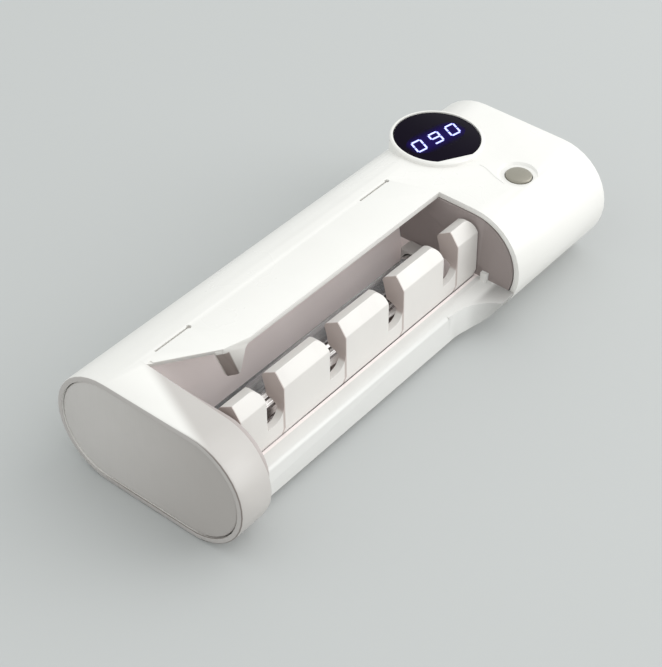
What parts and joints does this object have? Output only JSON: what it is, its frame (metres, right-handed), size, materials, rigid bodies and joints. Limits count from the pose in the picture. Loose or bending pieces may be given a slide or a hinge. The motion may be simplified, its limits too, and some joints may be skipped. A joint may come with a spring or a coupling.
{
  "type": "uv toothbrush sanitizer",
  "caption": "Wall-hung toothbrush sanitizer: stadium-section sleeve with a brush chamber, lift-out slotted rack, lamp, round display and power button.",
  "frame": {"origin": "centre of the bounding box at the plane of the flat back, on which the unit lies", "axes": "+X along the long axis from the ring end to the display end, +Z out of the front panel away from the wall, -Y towards the brush rack, which points down when the unit hangs on a wall"},
  "size_m": [0.197, 0.073, 0.0416],
  "materials": {
    "white_plastic": "satin",
    "liner_plastic": "satin",
    "holder_plastic": "matt",
    "end_plate_grey": "satin",
    "reflector_metal": "polished",
    "cap_metal": "satin",
    "lamp_glass": "clear",
    "lens_black": "polished",
    "display_dark": "matt",
    "board_green": "satin",
    "button_metal": "satin",
    "steel": "satin",
    "cell_wrap": "gloss",
    "ferrite_tape": "satin",
    "foam": "matt"
  },
  "bodies": {
    "main_body": {"battery_cell": "cell_wrap", "battery_cradle": "display_dark", "button_switch": "steel", "casing": "white_plastic", "chassis": "liner_plastic", "chassis_screw_1": "steel", "chassis_screw_2": "steel", "chassis_screw_3": "steel", "chassis_screw_4": "steel", "controller_chip": "display_dark", "cradle_screw_1": "steel", "cradle_screw_2": "steel", "display_board": "board_green", "display_lens": "lens_black", "display_module": "display_dark", "driver_board_screw_1": "steel", "driver_board_screw_2": "steel", "driver_transformer": "ferrite_tape", "end_plate_far": "end_plate_grey", "end_plate_near": "end_plate_grey", "lamp_cap_far": "cap_metal", "lamp_cap_near": "cap_metal", "lamp_driver_board": "board_green", "lamp_holder_far": "holder_plastic", "lamp_holder_near": "holder_plastic", "main_board": "board_green", "main_board_screw_1": "steel", "main_board_screw_2": "steel", "main_board_screw_3": "steel", "main_board_screw_4": "steel", "reflector": "reflector_metal", "switch_board": "board_green", "switch_board_screw_1": "steel", "switch_board_screw_2": "steel", "usb_socket": "steel", "uv_lamp": "lamp_glass"},
    "power_button": {"power_button": "button_metal", "switch_plunger": "display_dark"},
    "brush_rack": {"brush_rack": "white_plastic"},
    "wall_plate": {"wall_plate": "steel", "adhesive_pad": "foam"}
  },
  "joints": [
    {"name": "button_press", "type": "slide", "parent": "main_body", "child": "power_button", "axis": [0, 0, -1], "range_m": [0, 0.0006], "stiffness_N_per_m": 600},
    {"name": "rack_lift", "type": "slide", "parent": "main_body", "child": "brush_rack", "axis": [0, 0, 1], "range_m": [0, 0.03]},
    {"name": "wall_plate_slide", "type": "slide", "parent": "main_body", "child": "wall_plate", "axis": [0, -1, 0], "range_m": [0, 0.006]}
  ]
}
